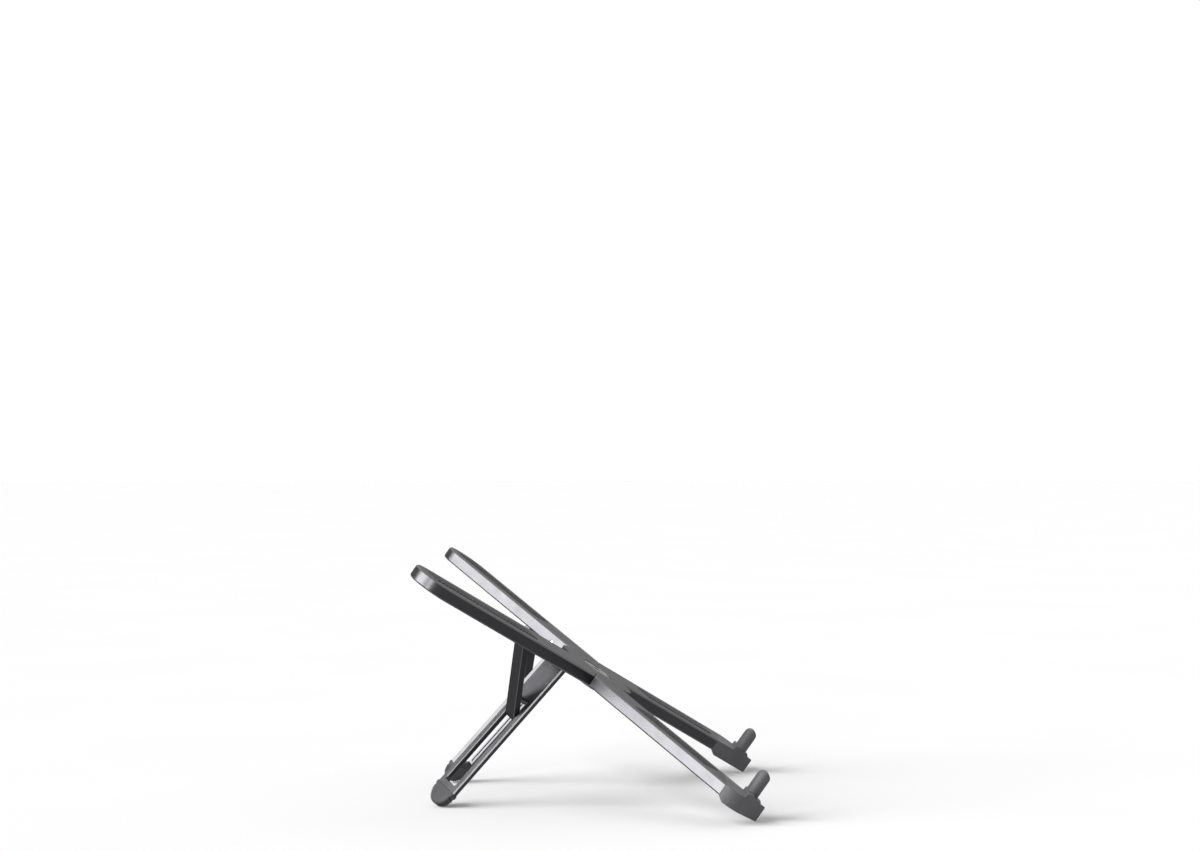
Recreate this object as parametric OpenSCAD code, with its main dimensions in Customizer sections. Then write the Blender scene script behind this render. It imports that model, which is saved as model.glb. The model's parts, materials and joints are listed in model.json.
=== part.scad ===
/* [Arms] */
// Half of the angle between the two arms when the stand is open
half_angle = 39; // [34:1:40]
// Width of each arm
arm_w = 28; // [26:0.5:34]
// Thickness of each arm
arm_t = 6.4; // [6.2:0.1:9]
// Distance from the hub to the tip of an arm's round rear end
rear_reach = 144; // [141:1:180]
// Distance from the hub to the seam of the front caps, measured down the slope
seam_reach = 80.5; // [74:0.5:82]
// Width of the bevel along the arm's edges
arm_bevel = 0.7; // [0.2:0.1:1]
// Gap between the arms where they lie side by side
arm_gap = 0.6; // [0.4:0.1:2]

/* [Hub] */
// Radius of the round lap where the arms cross
hub_r = 22; // [18:0.5:24]
// Radius of the hub pin's shaft
hub_pin_r = 4; // [3:0.1:5]
// Radius of the hub pin's flat head
hub_head_r = 8.5; // [6.5:0.5:10]
// Thickness of the hub pin's flat head
hub_head_t = 1.3; // [1:0.1:1.4]
// Radius of the friction washer between the laps
friction_r = 16; // [12:0.5:18]
// Thickness of the friction washer between the laps
friction_t = 0.4; // [0.3:0.1:0.6]
// Outer radius of the coned spring washer
spring_r = 7.5; // [6:0.5:9]
// Height of the hub nut
nut_t = 2.6; // [2:0.1:4]
// Size of the hub nut across its flats
nut_flats = 11; // [9:0.5:13]

/* [Grip pads] */
// Width of the grip pads
pad_w = 15; // [10:0.5:18]
// Thickness of the grip pads
pad_t = 1.2; // [1:0.1:1.4]
// Height of the grip pads above the arm
pad_proud = 0.4; // [0.2:0.1:0.6]
// Radius of the grip pads' corners
pad_corner_r = 4; // [1:0.5:4.5]
// Length of the rear grip pad
rear_pad_l = 76; // [40:1:80]
// Length of the front grip pad
front_pad_l = 58; // [30:1:62]

/* [Front caps] */
// Length of the cap's outer edge
cap_l = 9.8; // [9.2:0.1:20]
// Depth of the cap's sole below the arm
sole_drop = 2.1; // [1:0.1:4]
// Radius of the cap's outer corner
cap_corner_r = 9; // [4:0.5:9]
// Radius of the cap's inner corner
cap_nose_r = 2; // [1:0.25:3]
// Height of the ledge below the hook, above the grip pads
ledge_h = 1.9; // [1:0.1:4]
// Distance from the hub to the hook's face, measured down the slope
hook_reach = 92; // [88:0.5:94]
// Thickness of the hook
hook_t = 7; // [5:0.25:8]
// Width of the hook
hook_w = 10; // [9:0.25:12]
// Height of the hook above the grip pads
hook_h = 14.3; // [8:0.1:20]

/* [Legs] */
// Distance from the hub to the leg's hinge, along the arm
hinge_reach = 36.6; // [32:0.1:40]
// Angle between the raised leg and the arm
leg_angle = 81.7; // [75:0.1:85]
// Width of the leg
leg_w = 16.4; // [15.6:0.1:19]
// Thickness of the leg
leg_t = 3.2; // [3:0.1:3.6]
// Length of the leg's metal bar from its hinge
leg_l = 87; // [80:0.1:90]
// Width of the slot along the leg
slot_w = 9.4; // [9.3:0.1:10.4]
// Metal left between the slot and the end of the leg
slot_end = 2.9; // [2:0.1:5]
// Width of the bright bevel along the leg's edges
leg_bevel = 0.6; // [0.2:0.1:0.8]
// Length of the rubber boot beyond the metal bar
boot_l = 10.4; // [9.5:0.1:12]
// Thickness of the rubber boot
boot_t = 4; // [3.8:0.1:4.4]
// Number of grip notches round the boot's end
boot_notches = 11; // [5:2:15]
// Radius of the leg's hinge pin
leg_pin_r = 1.2; // [1:0.05:1.4]

/* [Struts] */
// Distance from the leg's hinge to the strut's pivot, along the arm
strut_base = 28.8; // [27.5:0.1:31]
// Distance between the strut's pivot and its slide pin
strut_l = 43.5; // [42:0.1:45]
// Width of the strut
strut_w = 9; // [8.4:0.1:9.1]
// Thickness of the strut
strut_t = 3.6; // [3.2:0.1:3.8]
// Width of the arm's lug between the strut's tines
lug_w = 3; // [2.4:0.1:3.6]
// Radius of the strut's pivot pin and slide pin
strut_pin_r = 1; // [0.8:0.05:1.1]

/* [Hidden] */
$fn = 72;

// Clearances
turn_gap = 0.05;   // radial, between a pin and what turns on it
side_gap = 0.3;    // between faces that slide past each other
seat_gap = 0.05;   // between a tongue and its socket
roof_gap = 0.15;   // above the folded leg in its pocket
over = 1;          // overshoot of a cut

// Arms
inner_x = arm_gap / 2;
mid_x = (inner_x + arm_w) / 2;
end_r = (arm_w - inner_x) / 2;
shoulder_angle = 90 - half_angle;
lap_t = (arm_t - friction_t) / 2;
thread_r = hub_pin_r - 1;
head_sink = 0.2;
head_key_r = 2.6;
head_key_d = 0.9;
head_z = arm_t - hub_head_t - head_sink;
spring_t = 0.5;
spring_rise = 0.6;
rest_z = arm_t + pad_proud;
pad_margin = 3;    // metal between a grip pad and the seam of the front cap
groove_pitch = 4;

// Front caps: the seam runs straight across both arms, so on each arm it is slanted
function seam_u(x) = (seam_reach + x * sin(half_angle)) / cos(half_angle);
front_reach = seam_u(arm_w) + cap_l;
tongue_w = arm_w - 10;
tongue_t = arm_t / 2 - 0.2;
tongue_grip = 5;
tongue_y0 = seam_u(mid_x - tongue_w / 2) - over;
tongue_y1 = seam_u(mid_x + tongue_w / 2) + tongue_grip;
sole_ramp = 3;
ledge_l = (front_reach * cos(half_angle) - hook_reach) / 3;
hook_inset = 0.15; // from the arm's inner edge to the hook's nearest point
hook_x = ((hook_reach + hook_t / 2) * sin(half_angle) + inner_x + hook_inset + hook_t / 2)
       / cos(half_angle) + (hook_w - hook_t) / 2;
screw_y = -seam_u(mid_x) - 7;
screw_r = 1.2;
screw_head_r = 2.4;
screw_head_t = 1.3;
screw_sink = 0.3;
screw_key_r = 1.1;
screw_key_d = 0.7;

// Leg hinge and the pocket that the leg folds into
knuckle_r = boot_t / 2;
hinge_z = leg_t / 2;
pocket_d = hinge_z + knuckle_r + roof_gap;
boot_r = leg_w / 2;
leg_reach = leg_l + boot_l;
pin_wall = 1.5;    // metal between the hinge pin's blind hole and the arm's outer edge
pin_end = 0.5;     // depth of the hinge pin's end in its hole

// Boot: a tongue of the leg's metal holds it
boot_tongue_w = leg_w - 6;
boot_tongue_t = leg_t - 1.7;
boot_tongue_l = boot_l - 3.4;
notch_w = 0.8;
notch_fan = 150;

// Strut: the slide pin's place along the leg follows from the triangle of hinge, pivot and pin
pin_x = strut_base * cos(leg_angle)
      + sqrt(pow(strut_l, 2) - pow(strut_base * sin(leg_angle), 2));
strut_angle = 180 - acos((pow(strut_base, 2) + pow(strut_l, 2) - pow(pin_x, 2))
                         / (2 * strut_base * strut_l));
strut_to_leg = strut_angle - leg_angle;

// Slot: it clears the strut at rest, and the lug when the leg is folded
slot_x0 = min(pin_x - leg_t / 2 / tan(strut_to_leg) - strut_t / 2 / sin(strut_to_leg) - side_gap,
              strut_base - knuckle_r - 2 * side_gap);
slot_x1 = leg_l - slot_end;
slot_corner_r = 1;
groove_w = 1.2;
groove_d = 0.5;

// The stand leans until the caps' noses and the boots reach the desk together
nose_s = (front_reach - cap_nose_r) * cos(half_angle)
       - (inner_x + cap_nose_r) * sin(half_angle) + cap_nose_r;
function down(t) = [-sin(t) * sin(half_angle), -sin(t) * cos(half_angle), -cos(t)];
function along_leg(t) = down(t) * [0, cos(leg_angle), -sin(leg_angle)];
function across_leg(t) = down(t) * [0, sin(leg_angle), cos(leg_angle)];
function boot_drop(t) = (leg_reach - boot_r) * along_leg(t)
    + boot_r * norm([along_leg(t), down(t)[0]]) + boot_t / 2 * abs(across_leg(t));
function hinge_drop(t) = down(t) * [-mid_x, hinge_reach, hinge_z];
function nose_drop(t) = nose_s * sin(t) + sole_drop * cos(t);
function lean(lo, hi, n) = n == 0 ? (lo + hi) / 2
    : let(t = (lo + hi) / 2)
      boot_drop(t) + hinge_drop(t) > nose_drop(t) ? lean(t, hi, n - 1) : lean(lo, t, n - 1);
incline = lean(5, 70, 30);
hub_z = nose_drop(incline);

// The origin lies below the middle of the stand's length
rear_y = (-mid_x * sin(half_angle) + (rear_reach - end_r) * cos(half_angle) + end_r) * cos(incline)
       - arm_bevel * sin(incline);
hook_top_r = hook_t / 2;
front_y = -(hook_reach + hook_t / 2) * cos(incline)
        - (rest_z + hook_h - hook_top_r) * sin(incline) - hook_top_r;
hub_y = -(rear_y + front_y) / 2;

// Places the plane of the arms, with the hub at its origin
module on_slope() {
    translate([0, hub_y, hub_z]) rotate([incline, 0, 0]) children();
}

// Places one arm's pieces: arm a points to the rear left, arm b is its mirror image
module side(name) {
    on_slope() mirror([name == "b" ? 1 : 0, 0, 0]) rotate([0, 0, half_angle]) children();
}

// Places the leg's pieces: hinge at the origin, leg along +Y
module raised_leg() {
    translate([-mid_x, hinge_reach, hinge_z]) rotate([-leg_angle, 0, 0]) children();
}

// Places the strut's pieces: pivot at the origin, strut along +Y
module raised_strut() {
    translate([-mid_x, hinge_reach + strut_base, hinge_z]) rotate([-strut_angle, 0, 0]) children();
}

// A rod along X, centred on the origin
module rod(r, l) {
    rotate([0, 90, 0]) cylinder(r = r, h = l, center = true);
}

// A bar along +Y with bevelled long edges
module bar(w, t, l, bevel) {
    x = w / 2;
    z = t / 2;
    rotate([90, 0, 180]) linear_extrude(l)
        polygon([[x, z - bevel], [x - bevel, z], [bevel - x, z], [-x, z - bevel],
                 [-x, bevel - z], [bevel - x, -z], [x - bevel, -z], [x, bevel - z]]);
}

// A rectangle with round corners from y0 to y1, centred on X
module round_plate(w, y0, y1, r) {
    translate([-w / 2 + r, y0]) square([w - 2 * r, y1 - y0]);
    translate([-w / 2, y0 + r]) square([w, y1 - y0 - 2 * r]);
    for (x = [r - w / 2, w / 2 - r], y = [y0 + r, y1 - r]) translate([x, y]) circle(r);
}

// Cuts a bevel along the line from p to q at the height z
module bevel_line(p, q, z, bevel) {
    d = q - p;
    l = norm(d);
    translate([p[0], p[1], z]) rotate([0, 0, atan2(d[1], d[0])]) translate([l / 2, 0, 0])
        rotate([45, 0, 0]) cube([l, bevel * sqrt(2), bevel * sqrt(2)], center = true);
}

// A flat disc with both rims bevelled
module bevelled_disc(r, t, bevel) {
    rotate_extrude()
        polygon([[0, 0], [r - bevel, 0], [r, bevel], [r, t - bevel], [r - bevel, t], [0, t]]);
}

// Outline of the rear half of arm a, as far as the shoulder that stops the arms at full opening
module half_outline(reach) {
    d = side_gap / 2;
    function shoulder(x) = d * sin(shoulder_angle)
        + (x + d * cos(shoulder_angle)) / tan(shoulder_angle);
    polygon([[-inner_x, shoulder(inner_x)], [-inner_x, reach],
             [-arm_w, reach], [-arm_w, shoulder(arm_w)]]);
}

// One half of an arm, with bevelled long edges and a slanted shoulder
module arm_half(reach) {
    intersection() {
        translate([-mid_x, 0, arm_t / 2]) bar(arm_w - inner_x, arm_t, reach, arm_bevel);
        linear_extrude(arm_t) half_outline(reach);
    }
}

// Both halves of an arm, cranked so that the arms lie side by side when folded
module arm_blank(lap_on_top) {
    difference() {
        union() {
            arm_half(rear_reach - end_r);
            translate([-mid_x, rear_reach - end_r, 0]) bevelled_disc(end_r, arm_t, arm_bevel);
            intersection() {
                rotate([0, 0, 180]) arm_half(front_reach);
                rotate([0, 0, -half_angle]) translate([-front_reach, -seam_reach, 0])
                    cube([2 * front_reach, 2 * front_reach, arm_t]);
            }
            cap_tongue(0);
        }
        translate([0, 0, lap_on_top ? -over : lap_t])
            cylinder(r = hub_r + side_gap, h = arm_t - lap_t + over);
    }
    translate([0, 0, lap_on_top ? arm_t - lap_t : 0]) cylinder(r = hub_r, h = lap_t);
}

// Tongue at the arm's front end that the cap is pushed over, or with a gap its socket
module cap_tongue(gap) {
    translate([mid_x, -tongue_y0, arm_t / 2]) rotate([0, 0, 180])
        bar(tongue_w + 2 * gap, tongue_t + 2 * gap, tongue_y1 - tongue_y0 + gap, leg_bevel / 2);
}

// Blind bore from the arm's inner edge across the pocket, and the pin in it
module hinge_rod(l) {
    translate([-arm_w + pin_wall, hinge_reach, hinge_z]) rotate([0, 90, 0])
        cylinder(r = leg_pin_r, h = l);
}

// Recess under the arm that takes the folded leg
module leg_pocket() {
    w = leg_w + 2 * side_gap;
    translate([-mid_x, hinge_reach, -over]) linear_extrude(pocket_d + over) {
        translate([-w / 2, -knuckle_r - side_gap])
            square([w, leg_reach - boot_r + knuckle_r + side_gap]);
        translate([0, leg_reach - boot_r]) circle(w / 2);
    }
}

// Lug in the pocket that the strut's tines straddle
module strut_lug() {
    translate([-mid_x, hinge_reach + strut_base, hinge_z]) {
        rod(knuckle_r, lug_w);
        translate([-lug_w / 2, -knuckle_r, 0])
            cube([lug_w, 2 * knuckle_r, pocket_d - hinge_z + roof_gap]);
    }
}

// Both arms: the lap sits on top on arm a and below on arm b
module arm(lap_on_top) {
    color([0.55, 0.55, 0.58]) difference() {
        union() {
            difference() {
                arm_blank(lap_on_top);
                leg_pocket();
            }
            strut_lug();
        }
        pad_place(rear_pad_l, 1) translate([0, 0, -pad_t])
            linear_extrude(pad_t + over) pad_outline(rear_pad_l);
        pad_place(front_pad_l, -1) translate([0, 0, -pad_t])
            linear_extrude(pad_t + over) pad_outline(front_pad_l);
        translate([0, 0, -over]) cylinder(r = hub_pin_r + (lap_on_top ? 0 : turn_gap),
            h = arm_t + 2 * over);
        if (lap_on_top) translate([0, 0, head_z])
            cylinder(r = hub_head_r + side_gap, h = hub_head_t + over);
        hinge_rod(arm_w);
        translate([-mid_x, hinge_reach + strut_base, hinge_z]) rod(strut_pin_r, lug_w + over);
        translate([mid_x, screw_y, 0]) cylinder(r = screw_r, h = arm_t);
    }
}

// Places a grip pad on the rear half (dir = 1) or the front half (dir = -1)
module pad_place(l, dir) {
    y = dir > 0 ? rear_reach - end_r - l + pad_w / 2 - 1 : -seam_u(mid_x - pad_w / 2) + pad_margin;
    translate([-dir * mid_x, y, rest_z]) children();
}

module pad_outline(l) {
    round_plate(pad_w, 0, l, pad_corner_r);
}

// Grip pads with shallow cross grooves
module grip_pad(l, dir) {
    color([0.2, 0.2, 0.21]) pad_place(l, dir) difference() {
        translate([0, 0, -pad_t]) linear_extrude(pad_t) pad_outline(l);
        for (y = [pad_w / 2 : groove_pitch : l - pad_w / 2])
            translate([-pad_w / 2 + 2, y, -pad_proud / 2]) cube([pad_w - 4, 0.8, over]);
    }
}

// Plan of an arm's front end, with a blunt outer corner
module front_outline() {
    l = front_reach - seam_u(0);
    translate([0, -front_reach]) {
        translate([inner_x + cap_nose_r, 0])
            square([arm_w - inner_x - cap_nose_r - cap_corner_r, l]);
        translate([inner_x, cap_nose_r]) square([arm_w / 2, l - cap_nose_r]);
        translate([arm_w / 2, cap_corner_r]) square([arm_w / 2, l - cap_corner_r]);
        translate([inner_x + cap_nose_r, cap_nose_r]) circle(cap_nose_r);
        translate([arm_w - cap_corner_r, cap_corner_r]) circle(cap_corner_r);
    }
}

// Thumb-shaped hook that faces the edge of what rests on the stand
module hook() {
    top = rest_z + hook_h;
    translate([hook_x, -hook_reach - hook_t / 2, 0]) intersection() {
        linear_extrude(top) {
            square([hook_w - hook_t, hook_t], center = true);
            for (d = [-1, 1]) translate([d * (hook_w - hook_t) / 2, 0]) circle(hook_t / 2);
        }
        translate([0, 0, top - hook_top_r]) {
            rod(hook_top_r, hook_w + over);
            translate([-hook_w / 2 - over, -hook_t / 2, -top]) cube([hook_w + 2 * over, hook_t, top]);
        }
    }
}

// Front cap: sole, ledge with two steps and the hook, pushed over the arm's tongue
module front_cap() {
    color([0.29, 0.29, 0.31]) difference() {
        union() {
            intersection() {
                translate([0, 0, -sole_drop]) linear_extrude(arm_t + sole_drop) front_outline();
                rotate([0, 0, -half_angle]) rotate([90, 0, -90])
                    linear_extrude(2 * front_reach, center = true)
                        polygon([[seam_reach, 0], [seam_reach + sole_ramp, -sole_drop],
                                 [front_reach, -sole_drop], [front_reach, arm_t], [seam_reach, arm_t]]);
            }
            for (k = [1, 2]) intersection() {
                linear_extrude(rest_z + ledge_h * k / 2) front_outline();
                rotate([0, 0, -half_angle]) translate([0, -hook_reach - ledge_l * (3 - k), 0])
                    cube([2 * front_reach, ledge_l * (3 - k), 2 * rest_z]);
            }
            rotate([0, 0, -half_angle]) hook();
        }
        cap_tongue(seat_gap);
        translate([mid_x, screw_y, -sole_drop - over]) {
            cylinder(r = screw_r + seat_gap, h = arm_t / 2 + sole_drop + over);
            cylinder(r = screw_head_r + seat_gap, h = screw_head_t + screw_sink + over);
        }
    }
}

// Screw that holds the cap to the arm's tongue
module cap_screw() {
    color([0.3, 0.3, 0.32]) translate([mid_x, screw_y, screw_sink - sole_drop]) difference() {
        union() {
            cylinder(r = screw_head_r, h = screw_head_t);
            cylinder(r = screw_r, h = sole_drop - screw_sink + (arm_t + tongue_t) / 2);
        }
        translate([0, 0, -over]) cylinder(r = screw_key_r, h = over + screw_key_d, $fn = 6);
    }
}

// Hinge pin that crosses the arm's pocket
module leg_pin() {
    color([0.75, 0.75, 0.77]) hinge_rod(arm_w - pin_wall - inner_x - pin_end);
}

// Slotted leg with bevelled bands, a knuckle at the top and a tongue for the boot
module leg() {
    y_mid = (slot_x0 + slot_x1) / 2;
    color([0.6, 0.6, 0.63]) raised_leg() difference() {
        union() {
            bar(leg_w, leg_t, leg_l, leg_bevel);
            rod(knuckle_r, leg_w);
            translate([0, leg_l - over, 0]) bar(boot_tongue_w, boot_tongue_t, boot_tongue_l + over, 0.2);
        }
        rod(leg_pin_r + turn_gap, leg_w + over);
        translate([0, 0, -leg_t]) linear_extrude(2 * leg_t)
            round_plate(slot_w, slot_x0, slot_x1, slot_corner_r);
        for (z = [-leg_t / 2, leg_t / 2], x = [-slot_w / 2, slot_w / 2])
            bevel_line([x, slot_x0 + slot_corner_r], [x, slot_x1 - slot_corner_r], z, leg_bevel / 2);
        translate([0, y_mid, 0])
            cube([slot_w + 2 * groove_d, slot_x1 - slot_x0 - 4 * slot_corner_r, groove_w], center = true);
    }
}

// Rubber boot with a round, notched end
module boot() {
    color([0.4, 0.4, 0.42]) raised_leg() difference() {
        translate([0, leg_l, -boot_t / 2]) linear_extrude(boot_t) {
            translate([-leg_w / 2, 0]) square([leg_w, boot_l - boot_r]);
            intersection() {
                translate([0, boot_l - boot_r]) circle(boot_r);
                translate([-leg_w, 0]) square([2 * leg_w, boot_l]);
            }
        }
        translate([0, leg_l - over, 0])
            bar(boot_tongue_w + 2 * seat_gap, boot_tongue_t + 2 * seat_gap,
                boot_tongue_l + seat_gap + over, 0.2);
        for (k = [0 : boot_notches - 1]) translate([0, leg_reach - boot_r, 0])
            rotate([0, 0, notch_fan * (k / (boot_notches - 1) - 0.5)]) translate([0, boot_r, 0])
                cube([notch_w, notch_w, 2 * boot_t], center = true);
    }
}

// Strut with a forked upper end
module strut() {
    color([0.36, 0.36, 0.38]) raised_strut() difference() {
        union() {
            bar(strut_w, strut_t, strut_l, leg_bevel / 2);
            rod(strut_t / 2, strut_w);
            translate([0, strut_l, 0]) rod(strut_t / 2, strut_w);
        }
        rod(strut_pin_r + turn_gap, strut_w + over);
        translate([-lug_w / 2 - side_gap, -strut_t, -strut_t])
            cube([lug_w + 2 * side_gap, strut_t + knuckle_r + side_gap, 2 * strut_t]);
        translate([0, strut_l, 0]) rod(strut_pin_r, strut_w + over);
    }
}

// Pivot pin of the strut, fixed in the arm's lug
module strut_pin() {
    color([0.75, 0.75, 0.77]) translate([-mid_x, hinge_reach + strut_base, hinge_z])
        rod(strut_pin_r, strut_w - side_gap);
}

// Pin at the strut's lower end that runs along the leg's slot
module slide_pin() {
    color([0.75, 0.75, 0.77]) raised_strut() translate([0, strut_l, 0])
        rod(strut_pin_r, strut_w + (slot_w - strut_w) / 2);
}

// Shouldered pin that the arms turn on, with a socket in its flat head
module hub_pin() {
    color([0.62, 0.62, 0.65]) on_slope() rotate([0, 0, half_angle]) difference() {
        union() {
            translate([0, 0, head_z]) cylinder(r = hub_head_r, h = hub_head_t);
            cylinder(r = hub_pin_r, h = head_z);
            translate([0, 0, -spring_rise - spring_t - nut_t]) cylinder(r = thread_r, h = arm_t);
        }
        translate([0, 0, head_z + hub_head_t - head_key_d])
            cylinder(r = head_key_r, h = head_key_d + over, $fn = 6);
    }
}

// Thin washer between the two laps
module friction_washer() {
    color([0.15, 0.15, 0.16]) on_slope() translate([0, 0, lap_t]) difference() {
        cylinder(r = friction_r, h = friction_t);
        translate([0, 0, -over]) cylinder(r = hub_pin_r + turn_gap, h = friction_t + 2 * over);
    }
}

// Coned washer that keeps the laps pressed together
module spring_washer() {
    r0 = thread_r + turn_gap;
    color([0.7, 0.7, 0.72]) on_slope() rotate_extrude()
        polygon([[r0, -spring_rise - spring_t], [spring_r, -spring_t], [spring_r, 0], [r0, -spring_rise]]);
}

// Hexagon nut below the lap
module hub_nut() {
    color([0.7, 0.7, 0.72]) on_slope() rotate([0, 0, half_angle])
        translate([0, 0, -spring_rise - spring_t - nut_t]) difference() {
            cylinder(d = nut_flats / cos(30), h = nut_t, $fn = 6);
            translate([0, 0, -over]) cylinder(r = thread_r, h = nut_t + 2 * over);
        }
}

side("a") arm(true);  // arm_a
side("a") grip_pad(rear_pad_l, 1);  // rear_pad_a
side("a") grip_pad(front_pad_l, -1);  // front_pad_a
side("a") front_cap();  // front_cap_a
side("a") cap_screw();  // cap_screw_a
side("a") leg_pin();  // leg_pin_a
side("a") leg();  // leg_a
side("a") boot();  // boot_a
side("a") strut();  // strut_a
side("a") strut_pin();  // strut_pin_a
side("a") slide_pin();  // slide_pin_a
side("b") arm(false);  // arm_b
side("b") grip_pad(rear_pad_l, 1);  // rear_pad_b
side("b") grip_pad(front_pad_l, -1);  // front_pad_b
side("b") front_cap();  // front_cap_b
side("b") cap_screw();  // cap_screw_b
side("b") leg_pin();  // leg_pin_b
side("b") leg();  // leg_b
side("b") boot();  // boot_b
side("b") strut();  // strut_b
side("b") strut_pin();  // strut_pin_b
side("b") slide_pin();  // slide_pin_b
hub_pin();
friction_washer();
spring_washer();
hub_nut();
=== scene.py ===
import json
import math

import bmesh
import bpy
from bpy.props import FloatProperty, FloatVectorProperty, IntProperty, PointerProperty
from mathutils import Matrix, Vector

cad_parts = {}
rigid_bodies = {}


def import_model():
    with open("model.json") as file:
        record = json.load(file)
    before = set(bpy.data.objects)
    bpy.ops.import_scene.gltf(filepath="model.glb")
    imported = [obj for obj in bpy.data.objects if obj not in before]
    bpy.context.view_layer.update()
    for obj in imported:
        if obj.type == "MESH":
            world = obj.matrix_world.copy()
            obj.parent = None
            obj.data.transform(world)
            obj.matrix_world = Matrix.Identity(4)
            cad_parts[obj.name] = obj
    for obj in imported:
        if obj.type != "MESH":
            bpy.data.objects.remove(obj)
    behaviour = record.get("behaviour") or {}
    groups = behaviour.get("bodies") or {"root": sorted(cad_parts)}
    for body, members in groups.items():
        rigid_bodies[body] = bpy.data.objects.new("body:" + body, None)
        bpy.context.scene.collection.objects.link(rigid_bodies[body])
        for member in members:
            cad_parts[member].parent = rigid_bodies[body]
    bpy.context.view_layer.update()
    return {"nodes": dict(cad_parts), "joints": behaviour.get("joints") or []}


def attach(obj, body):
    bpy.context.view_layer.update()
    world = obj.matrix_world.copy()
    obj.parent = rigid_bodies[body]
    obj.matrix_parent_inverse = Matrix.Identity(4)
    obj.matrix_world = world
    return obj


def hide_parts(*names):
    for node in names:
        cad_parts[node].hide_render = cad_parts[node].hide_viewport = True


bl_info = {
    "name": "Foldable Laptop Stand",
    "version": (1, 0, 0),
    "blender": (4, 5, 0),
    "location": "3D View > Sidebar > Stand",
    "description": "Dresses a folding stand of crossed aluminium arms with metal, rubber and steel",
    "category": "Object",
}

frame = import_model()
SIDES = ("a", "b")
MM = 0.001
SAME_POINT = 0.001 * MM

# Edges that turn by more than these are shown sharp, or are rounded
SHARP_FROM = math.radians(50)
ROUNDED_FROM = math.radians(35)

# Colours of what wear and use leave on a finish
DUST_COLOUR = (0.32, 0.31, 0.3)
BARE_SPOT_COLOUR = (0.2, 0.2, 0.21)


# Frames of the arms and legs, worked out from the joints

def joint(name):
    """The joint of that name in the frame."""
    return next(j for j in frame["joints"] if j["name"] == name)


def hub():
    """The point where the arms cross, on the plane of their undersides."""
    return Vector(joint("arms_fold")["pos_m"])


def slope_normal():
    """Upward normal of the plane in which the arms lie."""
    return Vector(joint("arms_fold")["axis"]).normalized()


def axes_matrix(x, y, z, origin):
    """A placing matrix from three axes and an origin."""
    turned = Matrix((x, y, z)).transposed().to_4x4()
    turned.translation = origin
    return turned


def arm_matrix(side):
    """Places what is drawn in an arm's own frame: +Y runs along the rear half, +Z up from the arm."""
    z = slope_normal()
    x = Vector(joint(f"leg_{side}_fold")["axis"]).normalized()
    y = z.cross(x)
    return axes_matrix(x if side == "a" else -x, y, z, hub())


def leg_matrix(side):
    """Places what is drawn in a leg's own frame: hinge at the origin, leg along +Y."""
    fold = joint(f"leg_{side}_fold")
    hinge = arm_matrix(side).inverted() @ Vector(fold["pos_m"])
    opened = math.radians(fold["range_deg"][1])
    return arm_matrix(side) @ Matrix.Translation(hinge) @ Matrix.Rotation(-opened, 4, "X")


def local_box(node, matrix):
    """Lowest and highest corner of a node, measured in the frame of the matrix."""
    back = matrix.inverted()
    points = [back @ v.co for v in frame["nodes"][node].data.vertices]
    low = Vector([min(p[k] for p in points) for k in range(3)])
    high = Vector([max(p[k] for p in points) for k in range(3)])
    return low, high


def grain_turn(side, y_axis=None):
    """Origin and turn of a right-handed frame along an arm or leg, for a Mapping node."""
    z = slope_normal()
    x = Vector(joint(f"leg_{side}_fold")["axis"]).normalized()
    y = y_axis or z.cross(x)
    return hub(), Matrix((x, y, x.cross(y))).transposed().to_euler()


# Meshes

def new_object(name, mesh):
    """A linked object at the origin that shows the mesh."""
    piece = bpy.data.objects.new(name, mesh)
    bpy.context.scene.collection.objects.link(piece)
    return piece


def put_in_place(mesh, matrix):
    """Moves a mesh, and keeps its faces pointing outwards where the matrix mirrors it."""
    mesh.transform(matrix)
    if matrix.determinant() < 0:
        mesh.flip_normals()


def dress(mesh, material):
    """Gives a mesh one material in place of what it has."""
    mesh.materials.clear()
    mesh.materials.append(material)


def baked(piece):
    """The piece's mesh with its modifiers applied, as a plain mesh."""
    bpy.context.view_layer.update()
    depsgraph = bpy.context.evaluated_depsgraph_get()
    return bpy.data.meshes.new_from_object(piece.evaluated_get(depsgraph))


def bake_in_place(piece):
    """Applies the piece's modifiers to its own mesh."""
    mesh = baked(piece)
    piece.modifiers.clear()
    piece.data = mesh


def hand_over(piece, body, node):
    """Lets the piece ride on its body and stand for its node."""
    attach(piece, body)
    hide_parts(node)


def extruded(outline, z0, z1, name):
    """A closed plate with that outline between two heights."""
    bm = bmesh.new()
    face = bm.faces.new([bm.verts.new((x, y, z0)) for x, y in outline])
    bm.normal_update()
    if face.normal.z > 0:
        face.normal_flip()
    made = bmesh.ops.extrude_face_region(bm, geom=[face])
    moved = [v for v in made["geom"] if isinstance(v, bmesh.types.BMVert)]
    bmesh.ops.translate(bm, verts=moved, vec=(0, 0, z1 - z0))
    bmesh.ops.recalc_face_normals(bm, faces=bm.faces)
    mesh = bpy.data.meshes.new(name)
    bm.to_mesh(mesh)
    bm.free()
    return mesh


def arc(cx, cy, r, a0, a1, steps):
    """Points along an arc, in degrees."""
    turns = [math.radians(a0 + (a1 - a0) * k / steps) for k in range(steps + 1)]
    return [(cx + r * math.cos(t), cy + r * math.sin(t)) for t in turns]


def round_rectangle(x0, x1, y0, y1, r, steps=10):
    """Outline of a rectangle with round corners."""
    return (arc(x1 - r, y1 - r, r, 0, 90, steps) + arc(x0 + r, y1 - r, r, 90, 180, steps)
            + arc(x0 + r, y0 + r, r, 180, 270, steps) + arc(x1 - r, y0 + r, r, 270, 360, steps))


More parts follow.
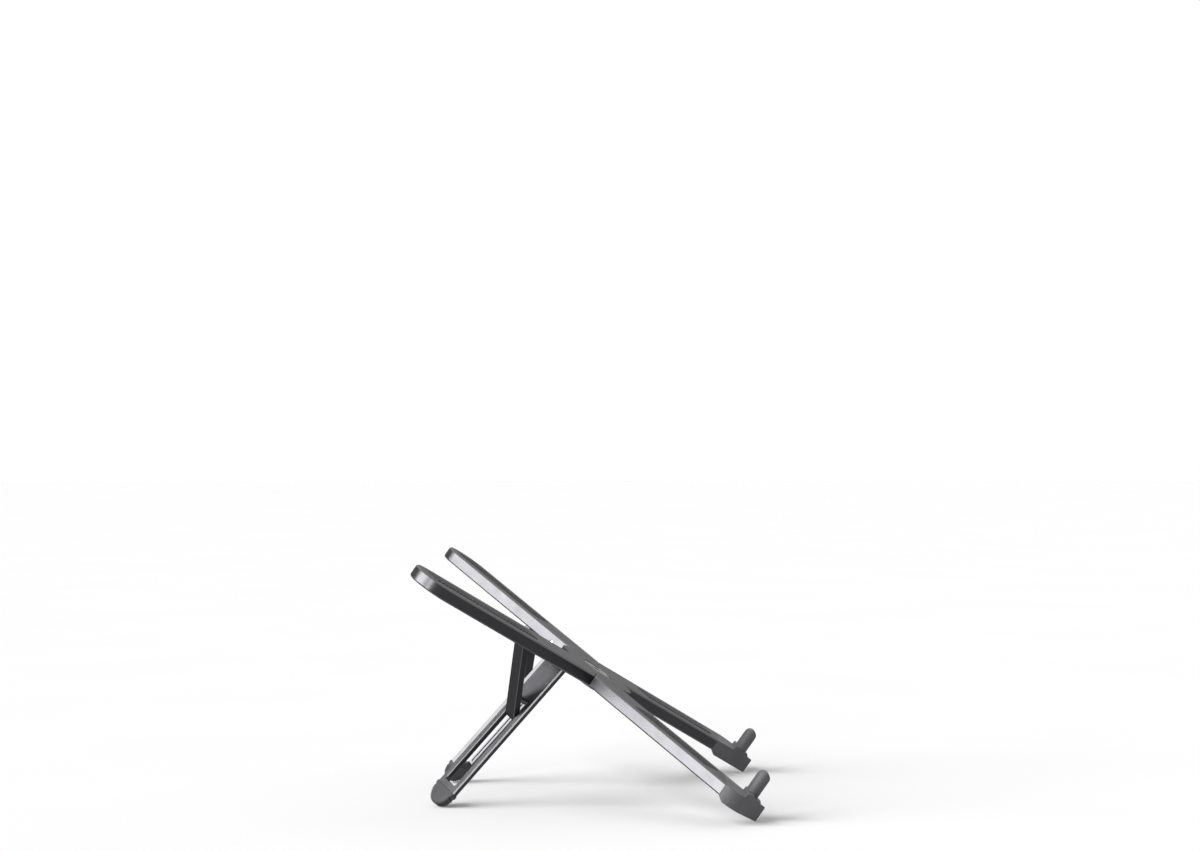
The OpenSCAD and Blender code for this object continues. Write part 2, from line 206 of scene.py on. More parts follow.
def soft_plate(name, outline, z0, z1, edge_r, segments):
    """A plate with that outline between two heights, with round edges."""
    plate = new_object(name, extruded(outline, z0, z1, name))
    bevel = plate.modifiers.new("Soft edges", "BEVEL")
    bevel.width = edge_r
    bevel.segments = segments
    bevel.limit_method = "ANGLE"
    bevel.angle_limit = ROUNDED_FROM
    bake_in_place(plate)
    return plate


def join_ribs(piece, ribs, matrix, rubber):
    """Merges the piece's points that fall together, adds the ribs and gives both place and rubber."""
    bm = bmesh.new()
    bm.from_mesh(piece.data)
    bmesh.ops.remove_doubles(bm, verts=bm.verts, dist=SAME_POINT)
    bm.from_mesh(ribs)
    bm.to_mesh(piece.data)
    bm.free()
    put_in_place(piece.data, matrix)
    piece.data.shade_smooth()
    piece.data.set_sharp_from_angle(angle=SHARP_FROM)
    dress(piece.data, rubber)


def moulded_copy(node, name, matrix, voxel, rounds):
    """A copy of a node with the soft edges of moulded rubber, made in the node's own frame in mm."""
    mesh = frame["nodes"][node].data.copy()
    mesh.name = name
    mesh.materials.clear()
    to_mm = Matrix.Scale(1 / MM, 4) @ matrix.inverted()
    mesh.transform(to_mm)
    bm = bmesh.new()
    bm.from_mesh(mesh)
    bmesh.ops.remove_doubles(bm, verts=bm.verts, dist=0.002)
    bmesh.ops.recalc_face_normals(bm, faces=bm.faces)
    bm.to_mesh(mesh)
    bm.free()
    piece = new_object(name, mesh)
    remesh = piece.modifiers.new("Skin", "REMESH")
    remesh.mode = "VOXEL"
    remesh.voxel_size = voxel
    smooth = piece.modifiers.new("Soften", "SMOOTH")
    smooth.factor = 0.5
    smooth.iterations = rounds
    bake_in_place(piece)
    put_in_place(piece.data, to_mm.inverted())
    piece.data.shade_smooth()
    return piece


# Nodes

class NodeWriter:
    """Writes a node tree from top to bottom."""

    def __init__(self, tree):
        self.tree = tree

    def node(self, kind, links=(), **settings):
        """A node with settings and incoming links by socket name or number."""
        made = self.tree.nodes.new(kind)
        for key, value in settings.items():
            setattr(made, key, value)
        for key, source in dict(links).items():
            if isinstance(source, bpy.types.NodeSocket):
                self.tree.links.new(source, made.inputs[key])
            else:
                made.inputs[key].default_value = source
        return made

    def math(self, operation, a, b=0.0):
        """The result of a Math node."""
        return self.node("ShaderNodeMath", {0: a, 1: b}, operation=operation).outputs[0]


class Tree(NodeWriter):
    """A Geometry Nodes tree with named inputs."""

    def __init__(self, name, inputs):
        super().__init__(bpy.data.node_groups.new(name, "GeometryNodeTree"))
        self.ids = {}
        interface = self.tree.interface
        for label, kind, value in inputs:
            socket = interface.new_socket(label, in_out="INPUT", socket_type=kind)
            if value is not None:
                socket.default_value = value
            self.ids[label] = socket.identifier
        interface.new_socket("Geometry", in_out="OUTPUT", socket_type="NodeSocketGeometry")
        self.entry = self.tree.nodes.new("NodeGroupInput")
        self.exit = self.tree.nodes.new("NodeGroupOutput")

    def input(self, label):
        """The output socket that carries the named input."""
        return self.entry.outputs[label]

    def finish(self, instances, material):
        """Ends the tree in Realize Instances and Set Material."""
        solid = self.node("GeometryNodeRealizeInstances", {"Geometry": instances}).outputs[0]
        painted = self.node("GeometryNodeSetMaterial", {"Geometry": solid, "Material": material})
        self.tree.links.new(painted.outputs[0], self.exit.inputs[0])
        return self


def grown(tree, name, values):
    """A plain mesh that the tree makes from those input values."""
    carrier = new_object(name, bpy.data.meshes.new(name))
    modifier = carrier.modifiers.new(name, "NODES")
    modifier.node_group = tree.tree
    for label, value in values.items():
        modifier[tree.ids[label]] = value
    mesh = baked(carrier)
    bpy.data.objects.remove(carrier)
    return mesh


def pad_rib_tree():
    """Cross ribs along a grip pad, each as long as the pad is wide at its place."""
    t = Tree("Pad ribs", [
        ("Count", "NodeSocketInt", 20), ("Length", "NodeSocketFloat", 0.07),
        ("Width", "NodeSocketFloat", 0.014), ("Corner Radius", "NodeSocketFloat", 0.004),
        ("Rib Width", "NodeSocketFloat", 0.0016), ("Rib Height", "NodeSocketFloat", 0.0004),
        ("Material", "NodeSocketMaterial", None)])
    pitch = t.math("DIVIDE", t.input("Length"), t.input("Count"))
    place = t.math("MULTIPLY", t.math("ADD", t.node("GeometryNodeInputIndex").outputs[0], 0.5), pitch)
    from_end = t.math("MINIMUM", place, t.math("SUBTRACT", t.input("Length"), place))
    radius = t.input("Corner Radius")
    into_corner = t.math("MAXIMUM", t.math("SUBTRACT", radius, from_end), 0.0)
    chord = t.math("SQRT", t.math("SUBTRACT", t.math("MULTIPLY", radius, radius),
                                  t.math("MULTIPLY", into_corner, into_corner)))
    lost = t.math("MULTIPLY", t.math("SUBTRACT", radius, chord), 2.0)
    span = t.math("SUBTRACT", t.input("Width"), lost)
    points = t.node("GeometryNodePoints", {
        "Count": t.input("Count"), "Position": t.node("ShaderNodeCombineXYZ", {1: place}).outputs[0]})
    line = t.node("GeometryNodeCurvePrimitiveLine", {"Start": (-0.5, 0, 0), "End": (0.5, 0, 0)})
    profile = t.node("GeometryNodeCurvePrimitiveCircle", {"Resolution": 16, "Radius": 0.5}, mode="RADIUS")
    rib = t.node("GeometryNodeCurveToMesh", {
        "Curve": line.outputs[0], "Profile Curve": profile.outputs[0], "Fill Caps": True})
    scale = t.node("ShaderNodeCombineXYZ", {
        0: span, 1: t.input("Rib Width"), 2: t.math("MULTIPLY", t.input("Rib Height"), 2.0)})
    laid = t.node("GeometryNodeInstanceOnPoints", {
        "Points": points.outputs[0], "Instance": rib.outputs[0], "Scale": scale.outputs[0]})
    return t.finish(laid.outputs[0], t.input("Material"))


def boot_rib_tree():
    """Tread ribs fanned round a boot's end."""
    t = Tree("Boot ribs", [
        ("Count", "NodeSocketInt", 10), ("Radius", "NodeSocketFloat", 0.008),
        ("Fan", "NodeSocketFloat", 2.6), ("Rib Width", "NodeSocketFloat", 0.0014),
        ("Rib Depth", "NodeSocketFloat", 0.0008), ("Thickness", "NodeSocketFloat", 0.0034),
        ("Material", "NodeSocketMaterial", None)])
    step = t.math("DIVIDE", t.input("Fan"), t.math("SUBTRACT", t.input("Count"), 1.0))
    turn = t.math("SUBTRACT", t.math("MULTIPLY", t.node("GeometryNodeInputIndex").outputs[0], step),
                  t.math("DIVIDE", t.input("Fan"), 2.0))
    reach = t.math("SUBTRACT", t.input("Radius"), t.math("DIVIDE", t.input("Rib Depth"), 2.0))
    place = t.node("ShaderNodeCombineXYZ", {
        0: t.math("MULTIPLY", t.math("SINE", turn), reach),
        1: t.math("MULTIPLY", t.math("COSINE", turn), reach)})
    points = t.node("GeometryNodePoints", {"Count": t.input("Count"), "Position": place.outputs[0]})
    bar = t.node("GeometryNodeMeshCylinder", {
        "Vertices": 20, "Side Segments": 1, "Fill Segments": 1, "Radius": 0.5, "Depth": 1.0})
    facing = t.node("ShaderNodeCombineXYZ", {2: t.math("MULTIPLY", turn, -1.0)})
    scale = t.node("ShaderNodeCombineXYZ", {
        0: t.input("Rib Width"), 1: t.input("Rib Depth"), 2: t.input("Thickness")})
    laid = t.node("GeometryNodeInstanceOnPoints", {
        "Points": points.outputs[0], "Instance": bar.outputs[0], "Rotation": facing.outputs[0],
        "Scale": scale.outputs[0]})
    return t.finish(laid.outputs[0], t.input("Material"))


# Materials

class Finish(NodeWriter):
    """A material that is written node by node, on Object coordinates."""

    def __init__(self, name):
        self.material = bpy.data.materials.new(name)
        self.material.use_nodes = True
        super().__init__(self.material.node_tree)
        self.shader = self.tree.nodes["Principled BSDF"]
        self.coords = self.tree.nodes.new("ShaderNodeTexCoord")
        self.point = self.coords.outputs["Object"]

    def turned(self, origin, turn, stretch=(1, 1, 1)):
        """Object coordinates measured in a turned frame, and stretched along its axes."""
        return self.node("ShaderNodeMapping", {
            "Vector": self.point, "Location": origin, "Rotation": turn, "Scale": stretch},
            vector_type="TEXTURE").outputs[0]

    def noise(self, scale, detail=3.0, point=None):
        """A noise pattern from 0 to 1, its scale in waves to the metre."""
        return self.node("ShaderNodeTexNoise", {
            "Vector": point or self.point, "Scale": scale, "Detail": detail}).outputs["Fac"]

    def spread(self, value, low, high, start=0.0, end=1.0):
        """The value moved from its range to another, and kept within it."""
        return self.node("ShaderNodeMapRange", {
            "Value": value, "From Min": low, "From Max": high, "To Min": start, "To Max": end}).outputs[0]

    def mixed(self, factor, a, b):
        """A colour between two colours."""
        made = self.node("ShaderNodeMix", {0: factor}, data_type="RGBA")
        for k, colour in ((6, a), (7, b)):
            if isinstance(colour, bpy.types.NodeSocket):
                self.tree.links.new(colour, made.inputs[k])
            else:
                made.inputs[k].default_value = (*colour, 1)
        return made.outputs[2]

    def bump(self, heights):
        """A bump from several (height, depth in metres) pairs, one on the other."""
        last = None
        for height, depth in heights:
            links = {"Height": height, "Distance": depth, "Strength": 1.0}
            if last:
                links["Normal"] = last
            last = self.node("ShaderNodeBump", links).outputs[0]
        self.tree.links.new(last, self.shader.inputs["Normal"])

    def set(self, **values):
        """Sets or links the shader's sockets, named with underscores for spaces."""
        for key, value in values.items():
            socket = self.shader.inputs[key.replace("_", " ")]
            if isinstance(value, bpy.types.NodeSocket):
                self.tree.links.new(value, socket)
            else:
                socket.default_value = (*value, 1) if isinstance(value, (tuple, list)) else value
        return self


def shade(colour, factor):
    """A colour made darker or lighter."""
    return tuple(c * factor for c in colour)


def anodised_metal(name, colour, edge_colour, face_normal, origin, turn):
    """Bead-blasted, anodised aluminium whose bevels were cut and polished after the blasting."""
    f = Finish(name)
    along = f.turned(origin, turn, (1, 9, 1))
    clouds = f.noise(42, 4)
    streaks = f.noise(900, 3, along)
    blasted = f.noise(4200, 2)
    normal = f.coords.outputs["Normal"]
    lean = f.node("ShaderNodeVectorMath", {0: normal, 1: face_normal},
                  operation="DOT_PRODUCT").outputs["Value"]
    bevel_lean, bevel_spread = math.cos(math.radians(45)), 0.12
    off_bevel = f.math("ABSOLUTE", f.math("SUBTRACT", f.math("ABSOLUTE", lean), bevel_lean))
    bevel = f.math("LESS_THAN", off_bevel, bevel_spread)
    rubbed = f.spread(f.noise(600, 5), 0.68, 0.80)
    tone = f.mixed(f.spread(clouds, 0.3, 0.7), shade(colour, 0.93), shade(colour, 1.08))
    tone = f.mixed(f.spread(streaks, 0.35, 0.65, end=0.5), tone, shade(colour, 0.9))
    tone = f.mixed(f.math("MULTIPLY", rubbed, 0.12), tone, shade(edge_colour, 1.4))
    tone = f.mixed(bevel, tone, edge_colour)
    satin = f.spread(f.noise(120, 4), 0.3, 0.7, start=0.27, end=0.35)
    polish = f.spread(streaks, 0.3, 0.7, start=0.26, end=0.33)
    roughness = f.node("ShaderNodeMix", {0: bevel, 2: satin, 3: polish}, data_type="FLOAT").outputs[0]
    depth = f.math("SUBTRACT", 1.0, f.math("MULTIPLY", bevel, 0.8))
    f.bump([(f.math("MULTIPLY", blasted, depth), 0.010 * MM), (streaks, 0.004 * MM)])
    f.set(Base_Color=tone, Roughness=roughness, Metallic=1.0)
    return f.material


def moulded_rubber(name, colour, rough, grain, dust):
    """Matt moulded rubber with a fine spark-eroded grain and a trace of dust."""
    f = Finish(name)
    pebbles = f.node("ShaderNodeTexVoronoi", {"Vector": f.point, "Scale": 1 / grain}).outputs["Distance"]
    fine = f.noise(2.4 / grain, 3)
    clouds = f.noise(65, 4)
    specks = f.spread(f.noise(1900, 2), 0.66, 0.74)
    tone = f.mixed(f.spread(clouds, 0.3, 0.7), shade(colour, 0.86), shade(colour, 1.12))
    tone = f.mixed(f.math("MULTIPLY", specks, dust), tone, DUST_COLOUR)
    handled = f.spread(clouds, 0.25, 0.75, start=rough + 0.06, end=rough - 0.06)
    f.bump([(pebbles, grain * 0.14), (fine, grain * 0.08)])
    f.set(Base_Color=tone, Roughness=handled, Specular_IOR_Level=0.42)
    f.set(Sheen_Weight=0.12, Sheen_Roughness=0.5)
    return f.material


def turned_steel(name, colour, origin, turn, rough):
    """Steel turned on a lathe, with fine rings round the hub's axis."""
    f = Finish(name)
    local = f.turned(origin, turn)
    rings = f.node("ShaderNodeTexWave", {"Vector": local, "Scale": 900, "Distortion": 0.6, "Detail": 2},
                   wave_type="RINGS", rings_direction="Z").outputs["Fac"]
    smudge = f.noise(220, 4)
    tone = f.mixed(f.spread(smudge, 0.3, 0.7), shade(colour, 0.88), colour)
    f.bump([(rings, 0.012 * MM), (f.noise(3000, 2), 0.003 * MM)])
    f.set(Base_Color=tone, Metallic=1.0,
          Roughness=f.spread(smudge, 0.3, 0.7, start=rough, end=rough + 0.1))
    return f.material


def polished_steel(name, colour):
    """Ground and polished steel pins with faint handling marks."""
    f = Finish(name)
    marks = f.noise(700, 5)
    tone = f.mixed(f.spread(marks, 0.35, 0.65), shade(colour, 0.86), colour)
    f.bump([(marks, 0.004 * MM)])
    f.set(Base_Color=tone, Metallic=1.0, Roughness=f.spread(marks, 0.3, 0.7, start=0.14, end=0.26))
    return f.material


def black_oxide(name, colour):
    """Blackened screws with brighter rubbed spots."""
    f = Finish(name)
    spots = f.spread(f.noise(1500, 4), 0.62, 0.75)
    tone = f.mixed(spots, colour, BARE_SPOT_COLOUR)
    f.bump([(f.noise(3600, 2), 0.006 * MM)])
    f.set(Base_Color=tone, Metallic=0.8, Roughness=f.spread(spots, 0.0, 1.0, start=0.42, end=0.3))
    return f.material


def dry_nylon(name, colour):
    """Self-lubricating nylon with a faint weave of fibres."""
    f = Finish(name)
    fibres = f.noise(1400, 4)
    tone = f.mixed(f.spread(fibres, 0.35, 0.65), colour, shade(colour, 1.8))
    f.bump([(fibres, 0.010 * MM)])
    f.set(Base_Color=tone, Roughness=f.spread(fibres, 0.3, 0.7, start=0.45, end=0.6))
    return f.material


def pale_floor(name, colour):
    """Matt studio floor with a barely seen mottle."""
    f = Finish(name)
    mottle = f.noise(6, 3)
    tone = f.mixed(f.spread(mottle, 0.3, 0.7), shade(colour, 0.985), colour)
    f.bump([(f.noise(900, 2), 0.02 * MM)])
    f.set(Base_Color=tone, Roughness=0.8, Specular_IOR_Level=0.2)
    return f.material


def paint(node, material):
    """Gives a node's object the material in all its slots."""
    owner = frame["nodes"][node]
    if not owner.material_slots:
        owner.data.materials.append(None)
    for held in owner.material_slots:
        held.material = material


# Sizes and colours

class StandMetal(bpy.types.PropertyGroup):
    """Colours of the anodised metal and the steel."""

    arm_colour: FloatVectorProperty(
        name="Arm colour", description="Anodised colour of the arms", subtype="COLOR",
        default=(0.125, 0.124, 0.132), min=0, max=1)
    leg_colour: FloatVectorProperty(
        name="Leg colour", description="Anodised colour of the legs", subtype="COLOR",
        default=(0.126, 0.125, 0.132), min=0, max=1)
    strut_colour: FloatVectorProperty(
        name="Strut colour", description="Anodised colour of the struts", subtype="COLOR",
        default=(0.085, 0.084, 0.09), min=0, max=1)
    edge_colour: FloatVectorProperty(
        name="Edge colour", description="Colour of the polished bevels", subtype="COLOR",
        default=(0.29, 0.29, 0.30), min=0, max=1)
    steel_colour: FloatVectorProperty(
        name="Steel colour", description="Colour of pins, washer and nut", subtype="COLOR",
        default=(0.55, 0.55, 0.56), min=0, max=1)
    screw_colour: FloatVectorProperty(
        name="Screw colour", description="Colour of the blackened screws", subtype="COLOR",
        default=(0.03, 0.03, 0.032), min=0, max=1)
    nylon_colour: FloatVectorProperty(
        name="Nylon colour", description="Colour of the friction washer", subtype="COLOR",
        default=(0.02, 0.02, 0.021), min=0, max=1)


class StandPads(bpy.types.PropertyGroup):
    """Sizes and colour of the grip pads."""

    colour: FloatVectorProperty(
        name="Colour", description="Colour of the pads' rubber", subtype="COLOR",
        default=(0.026, 0.026, 0.028), min=0, max=1)
    corner_r: FloatProperty(
        name="Corner radius", description="Radius of a pad's corners", unit="LENGTH",
        default=4.0 * MM, min=1.0 * MM, max=6 * MM)
    rib_pitch: FloatProperty(
        name="Rib pitch", description="Distance from rib to rib", unit="LENGTH",
        default=2.4 * MM, min=1.2 * MM, max=6 * MM)
    rib_w: FloatProperty(
        name="Rib width", description="Width of a cross rib", unit="LENGTH",
        default=1.7 * MM, min=0.6 * MM, max=3 * MM)
    rib_h: FloatProperty(
        name="Rib height", description="Height of the ribs above the pad", unit="LENGTH",
        default=0.35 * MM, min=0.1 * MM, max=0.6 * MM)
    margin: FloatProperty(
        name="Margin", description="Plain rim round the ribs", unit="LENGTH",
        default=1.1 * MM, min=0.4 * MM, max=3 * MM)
    edge_r: FloatProperty(
        name="Edge radius", description="Radius of the pad's soft edges", unit="LENGTH",
        default=0.18 * MM, min=0.05 * MM, max=0.4 * MM)


class StandCaps(bpy.types.PropertyGroup):
    """Softness and colour of the front caps."""

    colour: FloatVectorProperty(
        name="Colour", description="Colour of the caps' rubber", subtype="COLOR",
        default=(0.078, 0.077, 0.082), min=0, max=1)
    skin: FloatProperty(
        name="Skin cell", description="Size of the cells of the moulded skin", unit="LENGTH",
        default=0.26 * MM, min=0.15 * MM, max=0.6 * MM)
    rounds: IntProperty(
        name="Softening", description="Times that the moulded edges are smoothed",
        default=6, min=0, max=20)


class StandBoots(bpy.types.PropertyGroup):
    """Sizes and colour of the boots on the legs."""

    colour: FloatVectorProperty(
        name="Colour", description="Colour of the boots' rubber", subtype="COLOR",
        default=(0.041, 0.0405, 0.0435), min=0, max=1)
    rib_count: IntProperty(
        name="Ribs", description="Ribs round the boot's end", default=16, min=4, max=30)
    rib_fan: FloatProperty(
        name="Fan", description="Angle between the first and the last rib", subtype="ANGLE",
        default=math.radians(154), min=math.radians(60), max=math.radians(170))
    rib_w: FloatProperty(
        name="Rib width", description="Width of a rib", unit="LENGTH",
        default=0.85 * MM, min=0.3 * MM, max=3 * MM)
    rib_d: FloatProperty(
        name="Rib depth", description="Depth of a rib along the boot's radius", unit="LENGTH",
        default=1.6 * MM, min=0.4 * MM, max=3 * MM)
    notch_d: FloatProperty(
        name="Notch depth", description="Depth of the notches between the ribs", unit="LENGTH",
        default=0.75 * MM, min=0.1 * MM, max=1.5 * MM)
    edge_r: FloatProperty(
        name="Edge radius", description="Radius of the boot's soft edges", unit="LENGTH",
        default=0.8 * MM, min=0.1 * MM, max=1.5 * MM)
    rib_inset: FloatProperty(
        name="Rib inset", description="From the boot's flat faces to the ribs' ends", unit="LENGTH",
        default=0.24 * MM, min=0.1 * MM, max=1 * MM)


class StandStage(bpy.types.PropertyGroup):
    """Camera, floor and light."""

    lens: FloatProperty(
        name="Lens", description="Focal length", unit="CAMERA", default=70.5, min=20, max=300)
    camera_place: FloatVectorProperty(
        name="Camera place", description="Camera, measured from the hub", subtype="TRANSLATION",
        unit="LENGTH", default=(-1.2558, -0.0367, 0.1289))
    camera_aim: FloatVectorProperty(
        name="Camera aim", description="Direction in which the camera looks", subtype="DIRECTION",
        default=(0.99967, 0.0251, 0.0051))
    floor_colour: FloatVectorProperty(
        name="Floor colour", description="Colour of the floor", subtype="COLOR",
        default=(0.9, 0.9, 0.9), min=0, max=1)
    floor_r: FloatProperty(
        name="Floor radius", description="Radius of the floor and of the backdrop", unit="LENGTH",
        default=9, min=1, max=30)
    backdrop: FloatProperty(
        name="Backdrop", description="Brightness of the backdrop", default=1.0, min=0, max=4)
    key: FloatProperty(
        name="Key light", description="Strength of the large soft light behind the stand",
        default=3.8, min=0, max=20)
    fill: FloatProperty(
        name="Fill light", description="Strength of the weak light from the other side",
        default=0.5, min=0, max=20)
    front: FloatProperty(
        name="Front light", description="Strength of the light from the camera's side",
        default=0.9, min=0, max=20)
    sky: FloatProperty(
        name="Room light", description="Strength of the even light all round", default=0.3, min=0, max=4)


# Operators

class STAND_OT_metal(bpy.types.Operator):
    """Finish the arms, legs and struts in anodised aluminium"""

    bl_idname = "stand.metal"
    bl_label = "Finish Metal"

    def execute(self, context):
        """Makes one material for each arm, leg and strut, since the bevels face another way on each."""
        look = context.scene.stand_metal
        for side in SIDES:
            arm = arm_matrix(side).to_3x3()
            leg = leg_matrix(side).to_3x3()
            swing = math.radians(joint(f"strut_{side}_swing")["range_deg"][1])
            strut = arm @ Matrix.Rotation(-swing, 3, "X")
            for part, turned, colour in (("arm", arm, look.arm_colour), ("leg", leg, look.leg_colour),
                                         ("strut", strut, look.strut_colour)):
                origin, turn = grain_turn(side, turned.col[1].normalized())
                metal = anodised_metal(f"Anodised {part} {side}", colour, look.edge_colour,
                                       turned.col[2].normalized(), origin, turn)
                paint(f"{part}_{side}", metal)
        return {"FINISHED"}


class STAND_OT_fittings(bpy.types.Operator):
    """Finish the pins, screws, washers and the hub nut"""

    bl_idname = "stand.fittings"
    bl_label = "Finish Fittings"

    def execute(self, context):
        """Makes the steel and nylon finishes and paints the small parts with them."""
        look = context.scene.stand_metal
        origin, turn = grain_turn("a")
        turned = turned_steel("Turned steel", look.steel_colour, origin, turn, rough=0.24)
        pins = polished_steel("Polished pins", look.steel_colour)
        paint("hub_pin", turned)
        paint("hub_nut", turned)
        paint("spring_washer", pins)
        paint("friction_washer", dry_nylon("Washer nylon", look.nylon_colour))
        oxide = black_oxide("Black oxide", look.screw_colour)
        for side in SIDES:
            paint(f"cap_screw_{side}", oxide)
            for pin in ("leg_pin", "strut_pin", "slide_pin"):
                paint(f"{pin}_{side}", pins)
        return {"FINISHED"}


class STAND_OT_pads(bpy.types.Operator):
    """Make the ribbed grip pads on the arms"""

    bl_idname = "stand.pads"
    bl_label = "Make Grip Pads"

    def execute(self, context):
        """Lays a soft-edged pad with cross ribs in the place of each plain pad."""
        look = context.scene.stand_pads
        rubber = moulded_rubber("Pad rubber", look.colour, rough=0.62, grain=0.32 * MM, dust=0.35)
        tree = pad_rib_tree()
        for side in SIDES:
            for place in ("rear", "front"):
                self.make_pad(f"{place}_pad_{side}", side, look, rubber, tree)
        return {"FINISHED"}

    def make_pad(self, node, side, look, rubber, tree):
        """One pad: a plate with a soft rim, and ribs that end flush with the plain pad's top."""
        matrix = arm_matrix(side)
        low, high = local_box(node, matrix)
        top = high.z - look.rib_h
        outline = round_rectangle(low.x, high.x, low.y, high.y, look.corner_r)
        pad = soft_plate(f"{node}_ribbed", outline, low.z, top, look.edge_r, segments=3)
        ribbed_l = high.y - low.y - 2 * look.margin
        ribs = grown(tree, f"{node}_ribs", {
            "Count": int(ribbed_l / look.rib_pitch), "Length": ribbed_l,
            "Width": high.x - low.x - 2 * look.margin,
            "Corner Radius": look.corner_r - look.margin, "Rib Width": look.rib_w,
            "Rib Height": look.rib_h, "Material": rubber})
        ribs.transform(Matrix.Translation(((low.x + high.x) / 2, low.y + look.margin, top)))
        join_ribs(pad, ribs, matrix, rubber)
        hand_over(pad, f"arm_{side}", node)


class STAND_OT_caps(bpy.types.Operator):
    """Make the soft front caps with their hooks"""

    bl_idname = "stand.caps"
    bl_label = "Make Front Caps"

    def execute(self, context):
        """Gives each cap the rounded edges of moulded rubber."""
        look = context.scene.stand_caps
        rubber = moulded_rubber("Cap rubber", look.colour, rough=0.5, grain=0.3 * MM, dust=0.2)
        for side in SIDES:
            node = f"front_cap_{side}"
            cap = moulded_copy(node, f"{node}_moulded", arm_matrix(side), look.skin / MM, look.rounds)
            dress(cap.data, rubber)
            hand_over(cap, f"arm_{side}", node)
        return {"FINISHED"}


class STAND_OT_boots(bpy.types.Operator):
    """Make the ribbed rubber boots on the legs"""

    bl_idname = "stand.boots"
    bl_label = "Make Boots"

    def execute(self, context):
        """Makes a soft-edged boot with tread ribs in the place of each plain boot."""
        look = context.scene.stand_boots
        rubber = moulded_rubber("Boot rubber", look.colour, rough=0.55, grain=0.3 * MM, dust=0.3)
        tree = boot_rib_tree()
        for side in SIDES:
            self.make_boot(f"boot_{side}", side, look, rubber, tree)
        return {"FINISHED"}

    def make_boot(self, node, side, look, rubber, tree):
        """One boot: a body with a round end, and ribs that reach the plain boot's outline."""
        matrix = leg_matrix(side)
        low, high = local_box(node, matrix)
        r = (high.x - low.x) / 2
        end = high.y - r
        body_r = r - look.notch_d
        outline = (arc(0, end, body_r, 0, 180, 40)
                   + [(low.x, end), (low.x, low.y), (high.x, low.y), (high.x, end)])
        boot = soft_plate(f"{node}_ribbed", outline, low.z, high.z, look.edge_r, segments=4)
        ribs = grown(tree, f"{node}_ribs", {
            "Count": look.rib_count, "Radius": r, "Fan": look.rib_fan, "Rib Width": look.rib_w,
            "Rib Depth": look.rib_d, "Thickness": high.z - low.z - 2 * look.rib_inset,
            "Material": rubber})
        ribs.transform(Matrix.Translation((0, end, (low.z + high.z) / 2)))
        join_ribs(boot, ribs, matrix, rubber)
        hand_over(boot, f"leg_{side}", node)


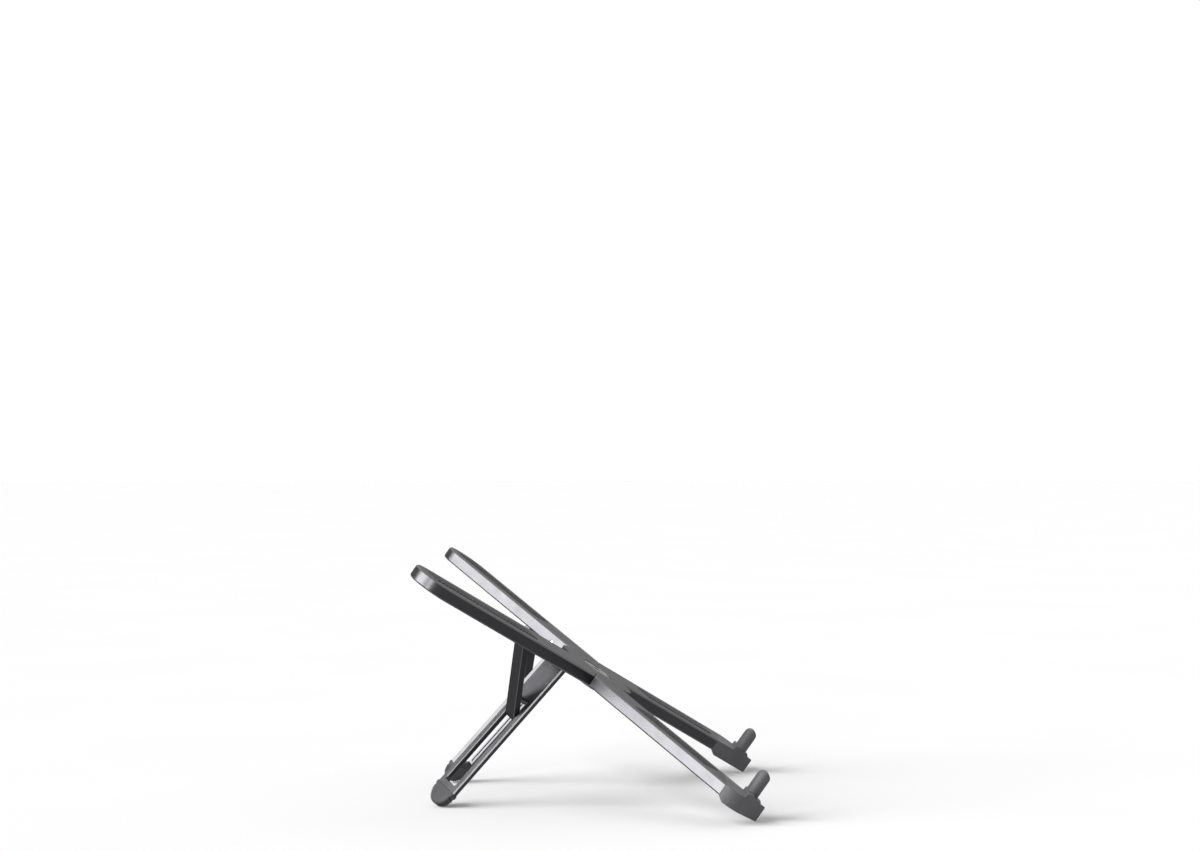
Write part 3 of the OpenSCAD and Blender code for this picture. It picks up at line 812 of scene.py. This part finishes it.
class STAND_OT_stage(bpy.types.Operator):
    """Set the camera, the floor, the backdrop and the light"""

    bl_idname = "stand.stage"
    bl_label = "Set Stage"

    def execute(self, context):
        """Builds the studio round the stand."""
        look = context.scene.stand_stage
        self.set_camera(context, look)
        self.lay_floor(look)
        self.hang_backdrop(look)
        self.light_room(context, look)
        return {"FINISHED"}

    def set_camera(self, context, look):
        """Puts the camera low at the stand's left side."""
        lens = bpy.data.cameras.new("Camera")
        lens.lens = look.lens
        lens.sensor_width = 36
        lens.clip_start = 0.01
        camera = bpy.data.objects.new("Camera", lens)
        camera.location = hub() + Vector(look.camera_place)
        camera.rotation_euler = Vector(look.camera_aim).to_track_quat("-Z", "Y").to_euler()
        context.scene.collection.objects.link(camera)
        context.scene.camera = camera

    def lay_floor(self, look):
        """A large round floor."""
        bm = bmesh.new()
        bmesh.ops.create_circle(bm, cap_ends=True, segments=96, radius=look.floor_r)
        mesh = bpy.data.meshes.new("floor")
        bm.to_mesh(mesh)
        bm.free()
        floor = new_object("floor", mesh)
        mesh.materials.append(pale_floor("Floor", look.floor_colour))
        floor.visible_glossy = False

    def hang_backdrop(self, look):
        """A bright dome that only the camera sees, so that it adds no light."""
        bm = bmesh.new()
        bmesh.ops.create_uvsphere(bm, u_segments=64, v_segments=32, radius=look.floor_r)
        bmesh.ops.reverse_faces(bm, faces=bm.faces)
        mesh = bpy.data.meshes.new("backdrop")
        bm.to_mesh(mesh)
        bm.free()
        dome = new_object("backdrop", mesh)
        f = Finish("Backdrop")
        f.set(Base_Color=(0, 0, 0), Specular_IOR_Level=0.0)
        f.set(Emission_Color=(1, 1, 1), Emission_Strength=look.backdrop)
        mesh.materials.append(f.material)
        for ray in ("diffuse", "glossy", "transmission", "shadow", "volume_scatter"):
            setattr(dome, f"visible_{ray}", False)

    def light_room(self, context, look):
        """A broad soft key from behind the stand, two weaker lights and even room light."""
        for name, strength, degrees_wide, to_light in (
                ("Key", look.key, 50, (-0.38, 0.75, 0.54)),
                ("Fill", look.fill, 80, (0.55, -0.35, 0.76)),
                ("Front", look.front, 20, (-0.90, 0.33, 0.25))):
            sun = bpy.data.lights.new(name, "SUN")
            sun.energy = strength
            sun.angle = math.radians(degrees_wide)
            lamp = bpy.data.objects.new(name, sun)
            lamp.rotation_euler = (-Vector(to_light)).to_track_quat("-Z", "Y").to_euler()
            context.scene.collection.objects.link(lamp)
        world = bpy.data.worlds.new("Room")
        world.use_nodes = True
        sky = world.node_tree.nodes["Background"]
        sky.inputs["Color"].default_value = (1, 1, 1, 1)
        sky.inputs["Strength"].default_value = look.sky
        context.scene.world = world
        context.scene.view_settings.view_transform = "Standard"


class STAND_PT_panel(bpy.types.Panel):
    """Sizes, colours and steps of the stand"""

    bl_idname = "STAND_PT_panel"
    bl_label = "Laptop Stand"
    bl_space_type = "VIEW_3D"
    bl_region_type = "UI"
    bl_category = "Stand"

    def draw(self, context):
        """Lists every size and colour above the button that uses it."""
        for name, steps in STEPS.items():
            group = getattr(context.scene, name)
            box = self.layout.box()
            for key in group.__annotations__:
                box.prop(group, key)
            for step in steps:
                box.operator(step)


GROUPS = {"stand_metal": StandMetal, "stand_pads": StandPads, "stand_caps": StandCaps,
          "stand_boots": StandBoots, "stand_stage": StandStage}
STEPS = {"stand_metal": ("stand.metal", "stand.fittings"), "stand_pads": ("stand.pads",),
         "stand_caps": ("stand.caps",), "stand_boots": ("stand.boots",), "stand_stage": ("stand.stage",)}
CLASSES = (*GROUPS.values(), STAND_OT_metal, STAND_OT_fittings, STAND_OT_pads, STAND_OT_caps,
           STAND_OT_boots, STAND_OT_stage, STAND_PT_panel)


def register():
    """Registers the classes and hangs the sizes on the scene."""
    for cls in CLASSES:
        bpy.utils.register_class(cls)
    for name, group in GROUPS.items():
        setattr(bpy.types.Scene, name, PointerProperty(type=group))


def unregister():
    """Takes back what register did."""
    for name in GROUPS:
        delattr(bpy.types.Scene, name)
    for cls in reversed(CLASSES):
        bpy.utils.unregister_class(cls)


def main():
    """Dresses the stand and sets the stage."""
    register()
    bpy.ops.stand.metal()
    bpy.ops.stand.fittings()
    bpy.ops.stand.pads()
    bpy.ops.stand.caps()
    bpy.ops.stand.boots()
    bpy.ops.stand.stage()


if __name__ == "__main__":
    main()
